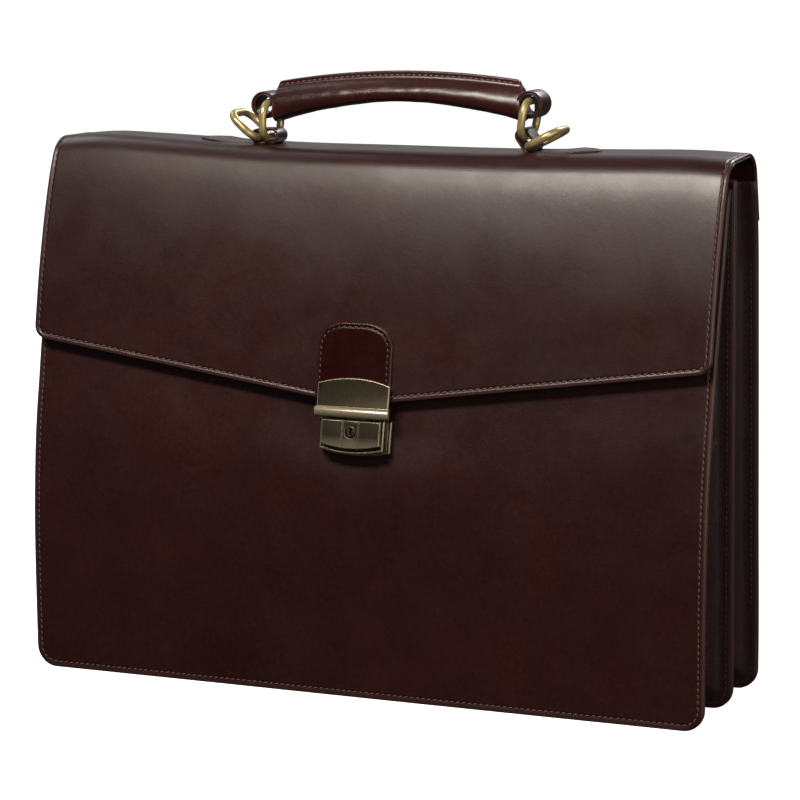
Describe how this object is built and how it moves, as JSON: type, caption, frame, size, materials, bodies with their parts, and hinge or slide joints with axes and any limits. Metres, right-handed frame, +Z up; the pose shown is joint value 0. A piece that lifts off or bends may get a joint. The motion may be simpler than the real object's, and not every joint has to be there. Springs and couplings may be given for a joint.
{
  "type": "leather laptop briefcase",
  "caption": "Dark brown leather laptop briefcase with folding side gussets, a front flap with a brass slide lock, and a padded handle on wire rings.",
  "frame": {"origin": "on the floor under the middle of the case's width and depth", "axes": "+X to the right as seen from the front, +Y to the back, +Z up"},
  "size_m": [0.4, 0.1143, 0.3432],
  "materials": {
    "leather": "polished dark brown",
    "gusset_leather": "soft dark brown",
    "tab_leather": "polished red brown",
    "antique_brass": "brushed antique",
    "dark_brass": "antique"
  },
  "bodies": {
    "case": {"front_panel": "leather", "divider_panel": "leather", "back_panel": "leather", "gusset_front": "gusset_leather", "gusset_back": "gusset_leather", "flap": "leather", "lock_tab": "tab_leather", "lock_case": "dark_brass", "hasp_plate": "antique_brass", "chape_left": "leather", "chape_right": "leather"},
    "lock_slider": {"lock_slider": "antique_brass"},
    "lock_cylinder": {"lock_cylinder": "antique_brass"},
    "handle_ring_left": {"handle_ring_left": "antique_brass"},
    "handle_ring_right": {"handle_ring_right": "antique_brass"},
    "handle": {"handle_strap": "leather", "handle_grip": "leather"},
    "strap_ring_left": {"strap_ring_left": "antique_brass"},
    "strap_ring_right": {"strap_ring_right": "antique_brass"}
  },
  "joints": [
    {"name": "slider_press", "type": "slide", "parent": "case", "child": "lock_slider", "axis": [0, -0.1942, -0.981], "range_m": [0, 0.0015], "stiffness_N_per_m": 900, "springref_m": -0.002},
    {"name": "key_turn", "type": "hinge", "parent": "lock_slider", "child": "lock_cylinder", "pos_m": [0, -0.0536, 0.1504], "axis": [0, -0.981, 0.1942], "range_deg": [0, 90]},
    {"name": "handle_sway", "type": "hinge", "parent": "case", "child": "handle_ring_left", "pos_m": [-0.0767, 0.01163, 0.3038], "axis": [0, 1, 0], "range_deg": [-20, 20]},
    {"name": "handle_level", "type": "hinge", "parent": "handle_ring_left", "child": "handle", "pos_m": [-0.07585, 0.01163, 0.32328], "axis": [0, 1, 0], "range_deg": [-20, 20]},
    {"name": "ring_follow", "type": "hinge", "parent": "case", "child": "handle_ring_right", "pos_m": [0.0767, 0.01163, 0.3093], "axis": [0, 1, 0], "range_deg": [-20, 20]},
    {"name": "strap_ring_left_swing", "type": "hinge", "parent": "case", "child": "strap_ring_left", "pos_m": [-0.0821, 0.01163, 0.3038], "axis": [0, 1, 0], "range_deg": [-38, 20]},
    {"name": "strap_ring_right_swing", "type": "hinge", "parent": "case", "child": "strap_ring_right", "pos_m": [0.0799, 0.01163, 0.3038], "axis": [0, 1, 0], "range_deg": [-34, 24]}
  ],
  "couplings": [
    {"joint": "handle_level", "follows": "handle_sway", "ratio": -1},
    {"joint": "ring_follow", "follows": "handle_sway", "ratio": 1}
  ]
}
